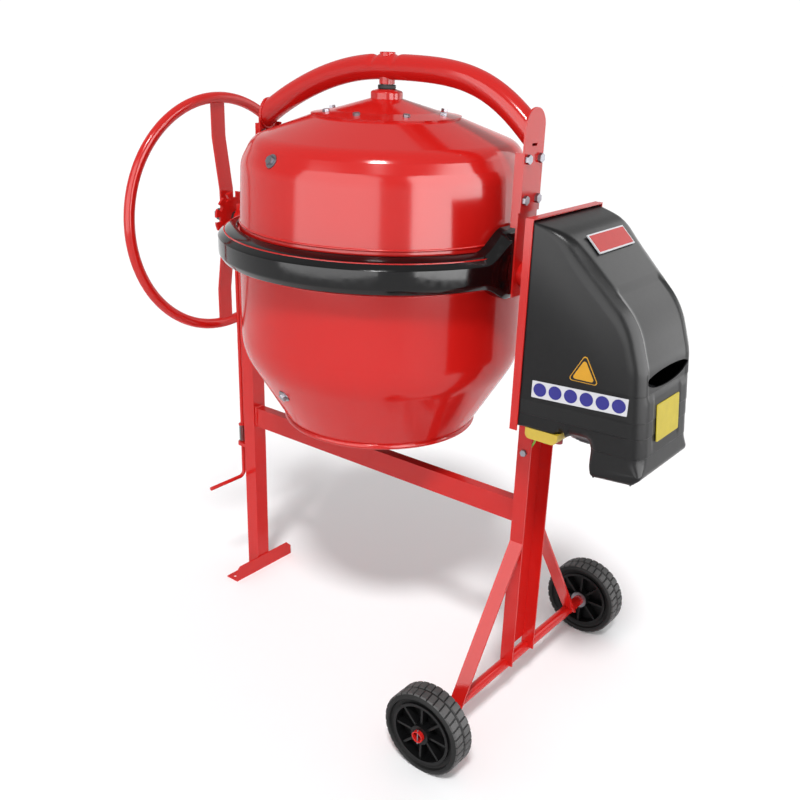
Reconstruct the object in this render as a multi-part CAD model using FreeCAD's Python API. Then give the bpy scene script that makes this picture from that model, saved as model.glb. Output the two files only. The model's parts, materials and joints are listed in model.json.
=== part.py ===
"""Tip-up electric concrete mixer of the 160 litre class.

Millimetres, +Z up. The floor is Z = 0. The numbers below measure X from the
drum's own axis, and save() moves everything so that the origin is the centre
of the machine's floor plan. -X is the handwheel side, +X the motor side.

Four groups turn or slide: the yoke tilts about the X line at tilt_z, the drum
spins in the yoke about its own axis, the pinion shaft spins in the yoke's
right trunnion, and the motor's rotor, the two wheels, the lock rod and the
switch buttons move on the stand.
"""
import FreeCAD, Part
import math
import os

V = FreeCAD.Vector

# ---------------------------------------------------------------- driving dimensions
tilt_z = 960.0            # height of the tilt axis and of the pinion shaft on it
drum_r = 309.0            # outside radius of the drum's cylinder
drum_wall = 2.0
waist_z = 1000.0          # joint between the lower and upper drum shells
waist_flange_r = 341.0
seam_t = 1.5              # sheet of each shell's waist flange
rim_r = 212.0             # radius of the rolled mouth bead
rim_z = 578.0
rim_bead_r = 6.5

guard_r = 353.0           # outside radius of the crown gear's guard
guard_z0 = 940.0
guard_z1 = 1008.0
guard_wall = 2.5
guard_flat_x = 349.5      # the guard is cut flat here for the yoke's brackets
pinion_cover_z1 = 1049.0

gear_module = 4.5
ring_teeth = 144
pinion_teeth = 12
ring_r = gear_module * ring_teeth / 2
pinion_r = gear_module * pinion_teeth / 2
tooth_r0 = 320.0          # inner and outer ends of the crown gear's teeth
tooth_r1 = 338.0
addendum = 0.8 * gear_module
dedendum = 1.1 * gear_module
backlash = 1.1

gear_bolt_r = 315.0
gear_bolt_size = 5.0
gear_bolt_count = 12
gear_bolt_start = 15.0    # degrees

# Each paddle foot is bolted where the wall is straight: radius, height and
# the slope of the wall's outward normal in degrees.
paddle_upper_foot = (290.9, 1158.0, 28.0)
paddle_lower_foot = (270.7, 676.0, -30.9)
paddle_angle = -99.0
paddle_bolt = 10.0

arch_z = 1326.0           # centre line of the arch tube at its crown
arch_left_r = 581.0       # the tube is bent tighter towards the handwheel
arch_right_r = 654.0
arch_tube_r = 25.0
bracket_x = 354.0         # face where each arch bracket meets its bearing bracket
bracket_half_w = 34.0
plate_t = 4.0

bracket_top_z = 1238.0    # centre of the arch bracket's round top
left_bracket_top_z = 1207.0
left_bracket_half_w = 27.0
bracket_bolt_y = 22.0
bracket_bolt_z = (1180.0, 1105.0)
left_bracket_bolt_z = (1170.0, 1105.0)
trunnion_r = 15.0         # solid left trunnion
trunnion_tube_r = 24.0    # hollow right trunnion round the pinion shaft
bearing_outer_r = 17.5
shaft_r = 7.5
spindle_r = 12.5          # drum spindle hanging from the arch
spindle_sleeve_r = 16.0
hub_r = 33.0
hub_bore_r = 26.0
hub_bolt_r = 128.0        # bolts of the reinforcing plate
hub_bolt_z = 1239.45
hub_bolt_axis = (-0.175, 0, -0.9846)

post_x = 403.0            # inner face of the left post, measured to the left
post_dx = 38.0
post_dy = 40.0
beam_z1 = 479.0
beam_h = 51.0
beam_w = 25.4
channel_x = 401.0         # back of the right channel
channel_flange = 31.0
channel_w = 92.6
sheet_t = 3.2

foot_hole_x = -422.0
foot_hole_y = 88.0
channel_bolt_x = 417.0    # bolts through the channel's flanges
channel_bolt_z = 609.0

axle_x = 411.0
axle_r = 12.5
axle_half = 366.0
wheel_r = 91.0
wheel_w = 58.0
wheel_y = 358.0           # outer face of each wheel

hand_x = 520.0            # handwheel rim plane, measured to the left
hand_r = 275.0
hand_tube_r = 12.5

lock_x = 470.0            # plane of the locking disc and its rod, to the left
disc_r = 62.0
lock_rod_r = 5.0

cover_x0 = 428.0          # inner face of the red back plate
cover_half_y = 130.0
cover_z0 = 692.0
cover_z1 = 1095.0
cover_flange = 16.0
cover_sheet = 2.5
housing_x1 = 697.0        # outermost plane of the black housing
housing_wall = 3.0

pulley_x = 458.0          # middle plane of the belt
big_pulley_r = 110.0
small_pulley_r = 12.5
belt_w = 14.0
belt_t = 4.5
motor_z = 726.0
motor_r = 68.0
motor_shaft_r = 7.0
motor_x0 = 513.0
motor_x1 = 657.0

switch_x0 = 456.0         # yellow switch bezel under the housing's floor
switch_x1 = 526.0
switch_y0 = -118.0
switch_y1 = -65.0
switch_z0 = 678.0
button_travel = 3.0
start_place = (496.0, -90.0, 8.0)
stop_place = (515.0, -90.0, 8.0)
housing_floor_z = 700.0
slot_half_y = 86.0        # finger slot in the housing's outer face
slot_z = 834.0
slot_rise = 11.0
slot_sag = 21.0

running = 0.05            # radial clearance of a running fit
plan_centre_x = 81.9      # from the drum axis to the centre of the floor plan

NODES = {}


# ---------------------------------------------------------------- building blocks
def box(x0, x1, y0, y1, z0, z1):
    return Part.makeBox(x1 - x0, y1 - y0, z1 - z0, V(x0, y0, z0))


def rod(start, direction, radius, length):
    return Part.makeCylinder(radius, length, V(*start), V(*direction))


def rod_x(x0, x1, y, z, radius):
    return rod((x0, y, z), (1, 0, 0), radius, x1 - x0)


def rod_y(x, y0, y1, z, radius):
    return rod((x, y0, z), (0, 1, 0), radius, y1 - y0)


def rod_z(x, y, z0, z1, radius):
    return rod((x, y, z0), (0, 0, 1), radius, z1 - z0)


def tube_x(x0, x1, y, z, outer, inner):
    return rod_x(x0, x1, y, z, outer).cut(rod_x(x0 - 1, x1 + 1, y, z, inner))


def tube_y(x, y0, y1, z, outer, inner):
    return rod_y(x, y0, y1, z, outer).cut(rod_y(x, y0 - 1, y1 + 1, z, inner))


def tube_z(x, y, z0, z1, outer, inner):
    return rod_z(x, y, z0, z1, outer).cut(rod_z(x, y, z0 - 1, z1 + 1, inner))


def unit(a, b):
    d = (b[0] - a[0], b[1] - a[1])
    n = math.hypot(*d)
    return (d[0] / n, d[1] / n)


def rounded_edges(points, place, closed):
    """Lines through (u, v, fillet) corners, each corner rounded by its fillet."""
    n = len(points)
    edges = []
    cursor = None
    first = None
    for i, (u, v, r) in enumerate(points):
        corner = (u, v)
        inside = closed or 0 < i < n - 1
        if r > 0 and inside:
            before = unit(corner, points[i - 1][:2])
            after = unit(corner, points[(i + 1) % n][:2])
            cosine = before[0] * after[0] + before[1] * after[1]
            half = math.acos(max(-1, min(1, cosine))) / 2
            reach = r / math.tan(half)
            a = (u + before[0] * reach, v + before[1] * reach)
            b = (u + after[0] * reach, v + after[1] * reach)
            mid = unit((0, 0), (before[0] + after[0], before[1] + after[1]))
            depth = r / math.sin(half) - r
            m = (u + mid[0] * depth, v + mid[1] * depth)
            arc = Part.Arc(place(*a), place(*m), place(*b)).toShape()
        else:
            a = b = corner
            arc = None
        if cursor is not None and math.dist(cursor, a) > 1e-6:
            edges.append(Part.LineSegment(place(*cursor), place(*a)).toShape())
        if first is None:
            first = a
        if arc is not None:
            edges.append(arc)
        cursor = b
    if closed and math.dist(cursor, first) > 1e-6:
        edges.append(Part.LineSegment(place(*cursor), place(*first)).toShape())
    return edges


def outline_face(points, place):
    return Part.Face(Part.Wire(rounded_edges(points, place, True)))


def plate_xz(points, y0, y1):
    """Outline in X and Z, pulled from y0 to y1."""
    face = outline_face(points, lambda u, v: V(u, y0, v))
    return face.extrude(V(0, y1 - y0, 0))


def plate_yz(points, x0, x1):
    face = outline_face(points, lambda u, v: V(x0, u, v))
    return face.extrude(V(x1 - x0, 0, 0))


def plate_xy(points, z0, z1):
    face = outline_face(points, lambda u, v: V(u, v, z0))
    return face.extrude(V(0, 0, z1 - z0))


def turned_z(points):
    """Closed (radius, height) outline turned about the drum's axis."""
    face = outline_face(points, lambda u, v: V(u, 0, v))
    return face.revolve(V(0, 0, 0), V(0, 0, 1), 360)


def turned_x(points, y, z):
    """Closed (x, radius) outline turned about an X line."""
    face = outline_face(points, lambda u, v: V(u, y, z + v))
    return face.revolve(V(0, y, z), V(1, 0, 0), 360)


def turned_y(points, x, z):
    """Closed (y, radius) outline turned about a Y line."""
    face = outline_face(points, lambda u, v: V(x, u, z + v))
    return face.revolve(V(x, 0, z), V(0, 1, 0), 360)


def offset_path(path, t):
    """The open path moved sideways by t, to the left of its direction."""
    moved = []
    for i, (u, v, r) in enumerate(path):
        normals = []
        if i > 0:
            d = unit(path[i - 1], path[i])
            normals.append((-d[1], d[0]))
        if i < len(path) - 1:
            d = unit(path[i], path[i + 1])
            normals.append((-d[1], d[0]))
        if len(normals) == 1:
            moved.append((u + normals[0][0] * t, v + normals[0][1] * t, 0))
            continue
        (ax, ay), (bx, by) = normals
        scale = t / (1 + ax * bx + ay * by)
        turn_left = ax * by - ay * bx > 0
        radius = max(r - t, 0.2) if turn_left else r + t
        moved.append((u + (ax + bx) * scale, v + (ay + by) * scale, radius if r > 0 else 0))
    return moved


def shell_outline(path, t):
    return path + offset_path(path, t)[::-1]


def place_x(shape, times, centre=(0, 0)):
    """Copies of a shape turned about the X line through (y, z)."""
    out = []
    for i in range(times):
        copy = shape.copy()
        copy.rotate(V(0, *centre), V(1, 0, 0), 360 * i / times)
        out.append(copy)
    return out


def turned_copies(shape, times, start=0.0):
    """Copies of a shape turned about the drum's axis."""
    out = []
    for i in range(times):
        copy = shape.copy()
        copy.rotate(V(0, 0, 0), V(0, 0, 1), start + 360 * i / times)
        out.append(copy)
    return out


def hexagon(start, direction, across, height):
    """Hexagonal bolt head or nut, standing on start."""
    radius = across / math.sqrt(3)
    corners = [V(radius * math.cos(math.pi * i / 3), radius * math.sin(math.pi * i / 3), 0)
               for i in range(6)]
    face = Part.Face(Part.makePolygon(corners + corners[:1]))
    solid = face.extrude(V(0, 0, height))
    turn = FreeCAD.Rotation(V(0, 0, 1), V(*direction))
    solid.Placement = FreeCAD.Placement(V(*start), turn)
    return solid


def bolt(head_at, direction, size, grip, washer=0.0, nut=True):
    """Hex bolt whose shank runs along direction from the face at head_at.

    The grip is the stack it clamps; the nut sits on the far side of it.
    """
    d = V(*direction)
    p = V(*head_at)
    head_h = 0.65 * size
    washer_t = 2.0 if washer else 0.0
    back = p - d * washer_t
    solid = hexagon(tuple(back - d * head_h), direction, 1.6 * size, head_h)
    end = grip + (0.95 * size if nut else 0.0)
    shank = Part.makeCylinder(size / 2, end + washer_t, back, d)
    solid = solid.fuse(shank)
    if washer:
        solid = solid.fuse(Part.makeCylinder(washer, washer_t, back, d))
    if nut:
        solid = solid.fuse(hexagon(tuple(p + d * grip), direction, 1.6 * size, 0.8 * size))
    return solid.removeSplitter()


def keep(name, *solids):
    """Store one node: every solid in it, as a compound if there are several."""
    flat = []
    for shape in solids:
        flat.extend(shape.Solids)
    NODES[name] = flat[0] if len(flat) == 1 else Part.makeCompound(flat)


def save():
    os.makedirs("parts", exist_ok=True)
    for name, shape in NODES.items():
        moved = shape.copy()
        moved.translate(V(-plan_centre_x, 0, 0))
        moved.exportStep("parts/%s.step" % name)


# ---------------------------------------------------------------- stand
def stand_frame():
    outer_x = -post_x - post_dx
    foot_t = 3.5
    wall = 2.5
    post = box(outer_x, -post_x, -post_dy / 2, post_dy / 2, foot_t, tilt_z + 38)
    post = post.cut(box(outer_x + wall, -post_x - wall, -post_dy / 2 + wall, post_dy / 2 - wall,
                        foot_t - 1, tilt_z + 38 - wall))
    sleeve_r = 24.0
    sleeve = rod_x(outer_x - 8, -post_x + 7, 0, tilt_z, sleeve_r)
    bore = rod_x(outer_x - 9, -post_x + 8, 0, tilt_z, trunnion_r + running)
    keep("left_post", post.fuse(sleeve).cut(bore))

    foot_half = 103.0
    chamfer = 14.0
    foot_w = 39.5
    hole_r = 5.5
    upright = plate_yz([(-foot_half, 0, 0), (foot_half, 0, 0), (foot_half, 26, 0),
                        (foot_half - chamfer, 40, 0), (-foot_half + chamfer, 40, 0),
                        (-foot_half, 26, 0)], -post_x, -post_x + foot_t)
    sole = box(-post_x + foot_t - foot_w, -post_x + foot_t, -foot_half, foot_half, 0, foot_t)
    foot = sole.fuse(upright).removeSplitter()
    for y in (-foot_hole_y, foot_hole_y):
        foot = foot.cut(rod_z(foot_hole_x, y, -1, foot_t + 1, hole_r))
    keep("foot_angle", foot)

    beam = box(-post_x, channel_x, -beam_w / 2, beam_w / 2, beam_z1 - beam_h, beam_z1)
    keep("cross_beam", beam.cut(box(-post_x - 1, channel_x + 1, -beam_w / 2 + 2, beam_w / 2 - 2,
                                    beam_z1 - beam_h + 2, beam_z1 - 2)))


def right_frame():
    half = channel_w / 2
    top = tilt_z + 60
    notch_z = cover_z0 - 6
    tip = channel_x + channel_flange
    channel = box(channel_x, tip, -half, half, wheel_r, top)
    channel = channel.cut(box(channel_x + sheet_t, tip + 1, -half + sheet_t, half - sheet_t,
                              wheel_r - 1, top + 1))
    channel = channel.cut(box(channel_x - 1, channel_x + sheet_t + 1, -half + sheet_t,
                              half - sheet_t, wheel_r - 1, wheel_r + 26))
    channel = channel.cut(box(cover_x0, tip + 1, -half - 1, half + 1, notch_z, top + 1))
    channel = channel.cut(rod_y(axle_x, -axle_half, axle_half, wheel_r, axle_r))
    channel = channel.cut(rod_x(channel_x - 1, channel_x + 5, 0, tilt_z, trunnion_tube_r + 1))
    for y in (-half, half):
        channel = channel.cut(rod_y(channel_bolt_x, y - 5, y + 5, channel_bolt_z, 4.0))
    for y, z in bearing_bolt_places():
        channel = channel.cut(rod_x(channel_x - 1, channel_x + 5, y, z, 4.0))
    keep("right_channel", channel)

    top_z = 402.0
    low_y = 246.0
    rise = top_z - wheel_r
    run = low_y - half
    thick = 5.0 * math.hypot(rise, run) / run
    bars = []
    for side in (-1, 1):
        corners = [(side * half, top_z, 0), (side * low_y, wheel_r, 0),
                   (side * (low_y - thick * run / rise), wheel_r, 0),
                   (side * half, top_z - thick, 0)]
        bar = plate_yz(corners, channel_x, tip)
        bars.append(bar.cut(rod_y(axle_x, -axle_half, axle_half, wheel_r, axle_r)))
    keep("axle_braces", *bars)

    keep("axle_tube", tube_y(axle_x, -axle_half, axle_half, wheel_r, axle_r, axle_r - 2.5))

    flange_r = 46.0
    housing = turned_x([(channel_x - 28, trunnion_tube_r + running, 0),
                        (channel_x, trunnion_tube_r + running, 0), (channel_x, flange_r, 0),
                        (channel_x - 6, flange_r, 0), (channel_x - 6, 32, 3),
                        (channel_x - 28, 32, 0)], 0, tilt_z)
    for y, z in bearing_bolt_places():
        housing = housing.cut(rod_x(channel_x - 10, channel_x + 1, y, z, 4.0))
    keep("right_bearing_housing", housing)
    bolts = [bolt((channel_x - 6, y, z), (1, 0, 0), 8, 6 + sheet_t)
             for y, z in bearing_bolt_places()]
    for side in (-1, 1):
        head = (channel_bolt_x, side * half, channel_bolt_z)
        bolts.append(bolt(head, (0, -side, 0), 8, sheet_t))
    keep("channel_bolts", *bolts)


def bearing_bolt_places():
    reach = 29.0
    return [(sy * reach, tilt_z + sz * reach) for sy in (-1, 1) for sz in (-1, 1)]


# ---------------------------------------------------------------- wheels
def wheels():
    hub_r = 21.0
    rim_in = 62.0
    tyre_in = 68.0
    for name, side in (("front", -1), ("back", 1)):
        outer = side * wheel_y
        inner = side * (wheel_y - wheel_w)
        lo, hi = min(outer, inner), max(outer, inner)
        mid = (lo + hi) / 2
        web = turned_y([(mid - 4, hub_r, 0), (mid + 4, hub_r, 0), (mid + 4, rim_in, 0),
                        (mid - 4, rim_in, 0)], axle_x, wheel_r)
        hub = tube_y(axle_x, lo, hi, wheel_r, hub_r, axle_r + running)
        band = tube_y(axle_x, lo + 3, hi - 3, wheel_r, tyre_in, rim_in)
        rim = hub.fuse(web).fuse(band)
        for i in range(8):
            rib = box(axle_x + hub_r - 1, axle_x + rim_in + 1, lo + 6, hi - 6,
                      wheel_r - 2.5, wheel_r + 2.5)
            rib.rotate(V(axle_x, 0, wheel_r), V(0, 1, 0), 45 * i)
            rim = rim.fuse(rib)
        keep("wheel_rim_" + name, rim.removeSplitter())
        tyre = turned_y([(lo, tyre_in, 0), (hi, tyre_in, 0), (hi, wheel_r, 7), (lo, wheel_r, 7)],
                        axle_x, wheel_r)
        keep("tyre_" + name, tyre)
    pins = []
    washers = []
    for side in (-1, 1):
        pin_y = side * (axle_half - 3)
        pins.append(rod_z(axle_x, pin_y, wheel_r - 17, wheel_r + 17, 1.6))
        inner = side * (wheel_y - wheel_w)
        washers.append(tube_y(axle_x, min(inner, inner - side * 3), max(inner, inner - side * 3),
                              wheel_r, 20.0, axle_r))
    pin_holes = Part.makeCompound(pins)
    NODES["axle_tube"] = NODES["axle_tube"].cut(pin_holes)
    keep("axle_pins_and_collars", *(pins + washers))


# ---------------------------------------------------------------- yoke
def side_brackets(side):
    """Arch bracket and bearing bracket of one side; side is -1 or +1."""
    def across(a, b):
        return (min(side * a, side * b), max(side * a, side * b))

    low_z = 1082.0
    if side > 0:
        x0, x1 = across(bracket_x, bracket_x + plate_t)
        upper_half = bracket_half_w
        top_z = bracket_top_z
        bolt_z = bracket_bolt_z
    else:
        x0, x1 = across(bracket_x - 2 * plate_t, bracket_x - plate_t)
        upper_half = left_bracket_half_w
        top_z = left_bracket_top_z
        bolt_z = left_bracket_bolt_z
    head_x = side * (bracket_x + plate_t) if side > 0 else side * bracket_x
    upper = box(x0, x1, -upper_half, upper_half, low_z, top_z)
    upper = upper.fuse(rod_x(x0, x1, 0, top_z, upper_half)).removeSplitter()
    if side > 0:
        upper = upper.cut(box(x0 - 1, x1 + 1, -9, 9, 1203, 1208))
    half = bracket_half_w

    lower_top = 1191.5
    lower_bottom = 918.0
    w0, w1 = across(bracket_x - plate_t, bracket_x)
    f0, f1 = across(bracket_x - 16, bracket_x)
    web = box(w0, w1, -half, half, lower_bottom, lower_top)
    lower = web
    for y in (-half, half - 3):
        lower = lower.fuse(box(f0, f1, y, y + 3, pinion_cover_z1 + 4, lower_top))
    shaft = trunnion_tube_r if side > 0 else trunnion_r
    lower = lower.cut(rod_x(w0 - 1, w1 + 1, 0, tilt_z, shaft)).removeSplitter()
    bolts = []
    for z in bolt_z:
        for y in (-bracket_bolt_y * upper_half / half, bracket_bolt_y * upper_half / half):
            hole = rod_x(min(w0, x0) - 1, max(w1, x1) + 1, y, z, 5.0)
            upper = upper.cut(hole)
            lower = lower.cut(hole)
            bolts.append(bolt((head_x, y, z), (-side, 0, 0), 10, 2 * plate_t))
    return upper, lower, bolts


def yoke():
    left_upper, left_lower, left_bolts = side_brackets(-1)
    right_upper, right_lower, right_bolts = side_brackets(1)
    keep("arch_brackets", left_upper, right_upper)
    keep("bearing_bracket_left", left_lower)
    keep("bearing_bracket_right", right_lower)
    nut = hexagon((-hand_x - 4, 0, tilt_z), (-1, 0, 0), 24, 6)
    keep("yoke_fasteners", nut, *(left_bolts + right_bolts))

    reach = bracket_x + 30

    def on_arch(x):
        radius = arch_left_r if x < 0 else arch_right_r
        return V(x, 0, arch_z - radius + math.sqrt(radius ** 2 - x ** 2))

    path = Part.Wire([Part.Arc(on_arch(-reach), on_arch(-reach / 2), on_arch(0)).toShape(),
                      Part.Arc(on_arch(0), on_arch(reach / 2), on_arch(reach)).toShape()])
    start = on_arch(-reach)
    tangent = V(arch_z - arch_left_r - start.z, 0, -reach)

    def swept(radius):
        ring = Part.Wire(Part.makeCircle(radius, start, tangent))
        return path.makePipeShell([ring], True, True)

    arch = swept(arch_tube_r).cut(swept(arch_tube_r - 2.5))
    arch = arch.common(box(-bracket_x + 2 * plate_t, bracket_x, -60, 60, 1000, 1500))
    sleeve_z = (arch_z - arch_tube_r - 8, arch_z + arch_tube_r + 3)
    sleeve = rod_z(0, 0, *sleeve_z, spindle_sleeve_r)
    keep("arch_tube", arch.fuse(sleeve).cut(rod_z(0, 0, 1200, 1500, spindle_r)))
    keep("drum_spindle", rod_z(0, 0, 1214, arch_z + arch_tube_r, spindle_r))
    keep("spindle_seal", turned_z([(spindle_r, 1283.5, 0), (18.5, 1283.5, 2), (18.5, 1291.5, 2),
                                   (spindle_r, 1291.5, 0)]))

    keep("left_trunnion", rod_x(-hand_x - 4, -bracket_x + plate_t, 0, tilt_z, trunnion_r))
    keep("right_trunnion_tube", tube_x(bracket_x - plate_t, 426, 0, tilt_z, trunnion_tube_r,
                                       bearing_outer_r))
    locking_disc()
    handwheel()
    gear_guard()


def locking_disc():
    half = 3.0
    disc = tube_x(-lock_x - half, -lock_x + half, 0, tilt_z, disc_r, trunnion_r)
    depth = 14.0
    notch = box(-lock_x - half - 1, -lock_x + half + 1, -lock_rod_r - 1, lock_rod_r + 1,
                tilt_z - disc_r - 5, tilt_z - disc_r + depth)
    notches = place_x(notch, 12, (0, tilt_z))
    keep("locking_disc", disc.cut(Part.makeCompound(notches)))


def handwheel():
    ring = Part.makeTorus(hand_r, hand_tube_r, V(-hand_x, 0, tilt_z), V(1, 0, 0))
    keep("handwheel_rim", ring)
    half_w = 20.0
    thick = 5.0
    dish_x = 500.0
    flat = 62.0
    bend = 96.0
    tip = hand_r - hand_tube_r + 1
    side_path = [(-hand_x, tilt_z + tip, 0), (-hand_x, tilt_z + bend + 90, 60),
                 (-dish_x, tilt_z + flat, 40), (-dish_x, tilt_z - flat, 40),
                 (-hand_x, tilt_z - bend - 90, 60), (-hand_x, tilt_z - tip, 0)]
    bar = plate_xz(shell_outline(side_path, thick), -half_w, half_w)
    bar = bar.cut(rod_x(-hand_x - 10, -dish_x + 20, 0, tilt_z, trunnion_r))
    hub = tube_x(-dish_x + 1, -lock_x - 3, 0, tilt_z, 23.0, trunnion_r)
    keep("handwheel_spoke", bar.cut(ring).fuse(hub))


def gear_guard():
    lip_r = drum_r + 6
    path = [(lip_r, guard_z1, 0), (guard_r, guard_z1, 15), (guard_r, guard_z0, 12),
            (lip_r, guard_z0, 0)]
    ring = turned_z(shell_outline(path, -guard_wall))
    gap_half = 112.0
    opening = box(0, 400, -gap_half, gap_half, guard_z0 - 5, guard_z1 + 5)
    ring = ring.cut(opening)
    ring = ring.cut(box(-400, -guard_flat_x, -60, 60, guard_z0 - 5, guard_z1 + 5))
    keep("gear_guard", ring)

    def hood(inset):
        top = pinion_cover_z1 - inset
        low = 912.0 + inset
        return plate_yz([(-gap_half, guard_z0 + inset, 0), (-gap_half, guard_z1 - inset, 0),
                         (-38, top, 32), (38, top, 32), (gap_half, guard_z1 - inset, 0),
                         (gap_half, guard_z0 + inset, 0), (58, low, 20), (-58, low, 20)],
                        200, guard_flat_x - inset)

    def round_to(radius):
        return rod_z(0, 0, 850, 1100, radius)

    outer = hood(0).common(round_to(guard_r)).cut(round_to(lip_r))
    inner = hood(guard_wall).fuse(box(200, guard_flat_x - guard_wall, -gap_half - 5, gap_half + 5,
                                      guard_z0 + guard_wall, guard_z1 - guard_wall))
    inner = inner.common(round_to(guard_r - guard_wall))
    cover = outer.cut(inner).cut(rod_x(200, 400, 0, tilt_z, trunnion_tube_r + 0.5))
    keep("pinion_cover", max(cover.Solids, key=lambda s: s.Volume))


# ---------------------------------------------------------------- drum
def drum():
    low_path = [(drum_r, waist_z - seam_t, 0), (drum_r, 740, 130), (rim_r, rim_z, 0)]
    lower = turned_z(shell_outline(low_path, -drum_wall))
    bead = Part.makeTorus(rim_r, rim_bead_r, V(0, 0, rim_z), V(0, 0, 1))
    seam = tube_z(0, 0, waist_z - 2 * seam_t, waist_z - seam_t, waist_flange_r, drum_r - drum_wall)
    lower = lower.fuse(bead).fuse(seam).removeSplitter()

    up_path = [(307.5, waist_z - seam_t / 2, 0), (300.5, 1140, 60), (276, 1186, 46),
               (155, 1231, 0), (110, 1239, 0), (hub_r + 1, 1246, 0)]
    upper = turned_z(shell_outline(up_path, drum_wall))
    seam_up = tube_z(0, 0, waist_z - seam_t, waist_z, waist_flange_r, 305.5)
    upper = upper.fuse(seam_up).removeSplitter()
    feet_low, feet_high = paddle_feet()
    gear_holes = gear_bolt_holes()
    keep("drum_lower", lower.cut(Part.makeCompound(feet_low + gear_holes)))
    keep("drum_upper", upper.cut(Part.makeCompound(feet_high + gear_holes + hub_bolt_holes())))

    plate = turned_z([(155, 1231, 0), (156, 1234.5, 0), (110, 1242.5, 20), (hub_r, 1265, 0),
                      (hub_r, 1261, 0), (109, 1239.2, 20)])
    keep("reinforcing_plate", plate.cut(Part.makeCompound(hub_bolt_holes())))

    keep("drum_hub", turned_z([(hub_bore_r, 1222, 0), (hub_r, 1222, 2), (hub_r, 1279, 5),
                               (18.8, 1283, 0), (18.8, 1278, 0), (hub_bore_r, 1278, 0)]))
    bearings = []
    for z in (1224, 1262):
        bearings.extend(ball_bearing_z(z, 15, spindle_r + running, hub_bore_r))
    keep("hub_bearings", *bearings)

    crown_gear()
    keep("drum_bolts", *(turned_copies(tilted_hub_bolt(), 8, 12) + gear_bolts() + paddles()))


def tilted_hub_bolt():
    return bolt((hub_bolt_r, 0, hub_bolt_z), hub_bolt_axis, 8, 7)


def hub_bolt_holes():
    hole = rod((hub_bolt_r + 3.5, 0, hub_bolt_z + 19.7), hub_bolt_axis, 4.0, 50)
    return turned_copies(hole, 8, 12)


def ball_bearing_z(z, height, inner, outer):
    """Deep-groove bearing as two races and its balls, on the drum's axis."""
    ball_path = (inner + outer) / 2
    ball = (outer - inner) * 0.22
    groove = Part.makeTorus(ball_path, ball + 0.05, V(0, 0, z + height / 2), V(0, 0, 1))
    third = (outer - inner) * 0.32
    races = [tube_z(0, 0, z, z + height, inner + third, inner).cut(groove),
             tube_z(0, 0, z, z + height, outer, outer - third).cut(groove)]
    balls = []
    for i in range(9):
        a = 2 * math.pi * i / 9
        balls.append(Part.makeSphere(ball, V(ball_path * math.cos(a), ball_path * math.sin(a),
                                             z + height / 2)))
    return races + balls


def ball_bearing_x(x, width, z, inner, outer):
    solids = ball_bearing_z(0, width, inner, outer)
    for solid in solids:
        solid.rotate(V(0, 0, 0), V(0, 1, 0), 90)
        solid.translate(V(x, 0, z))
    return solids


def ring_tooth():
    """One crown tooth, straight-sided, pointing down, at the angle 0."""
    pitch = math.pi * gear_module
    half = pitch / 4 - backlash / 4
    slope = math.tan(math.radians(20))
    pitch_z = tilt_z + pinion_r
    tip_z = pitch_z - addendum
    root_z = pitch_z + dedendum
    corners = [(-half - slope * dedendum, root_z, 0), (-half + slope * addendum, tip_z, 0),
               (half - slope * addendum, tip_z, 0), (half + slope * dedendum, root_z, 0),
               (half + slope * dedendum, root_z + 1, 0), (-half - slope * dedendum, root_z + 1, 0)]
    return plate_yz(corners, tooth_r0, tooth_r1)


def gear_bolt_holes():
    hole = rod_z(gear_bolt_r, 0, 900, 1010, gear_bolt_size / 2)
    return turned_copies(hole, gear_bolt_count, gear_bolt_start)


def crown_gear():
    """Four cast segments, bolted under the drum's waist flange."""
    root_z = tilt_z + pinion_r + dedendum
    top_z = waist_z - 2 * seam_t
    per = ring_teeth // 4
    base = tube_z(0, 0, root_z, top_z, waist_flange_r, drum_r + 1.5)
    gap = 0.35
    quarter = base.common(box(0, 400, 0, 400, 900, 1100))
    quarter = quarter.cut(box(0, 400, -1, gap, 900, 1100)).cut(box(-1, gap, 0, 400, 900, 1100))
    teeth = []
    for i in range(per):
        tooth = ring_tooth()
        tooth.rotate(V(0, 0, 0), V(0, 0, 1), 360.0 / ring_teeth * (i + 0.5))
        teeth.append(tooth)
    quarter = quarter.multiFuse(teeth).cut(Part.makeCompound(gear_bolt_holes()))
    keep("crown_gear", *turned_copies(quarter, 4))


def gear_bolts():
    root_z = tilt_z + pinion_r + dedendum
    fixing = bolt((gear_bolt_r, 0, root_z), (0, 0, 1), gear_bolt_size, waist_z - root_z)
    return turned_copies(fixing, gear_bolt_count, gear_bolt_start)


def wall_frame(solid, foot):
    """Carry a solid drawn about the origin, X outward, to a paddle foot."""
    r, z, slope = foot
    solid.rotate(V(0, 0, 0), V(0, 1, 0), -slope)
    solid.translate(V(r, 0, z))
    return solid


def paddle_feet():
    sets = []
    for foot in (paddle_lower_foot, paddle_upper_foot):
        hole = wall_frame(rod_x(-15, 15, 0, 0, paddle_bolt / 2), foot)
        sets.append(turned_copies(hole, 2, paddle_angle))
    return sets


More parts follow.
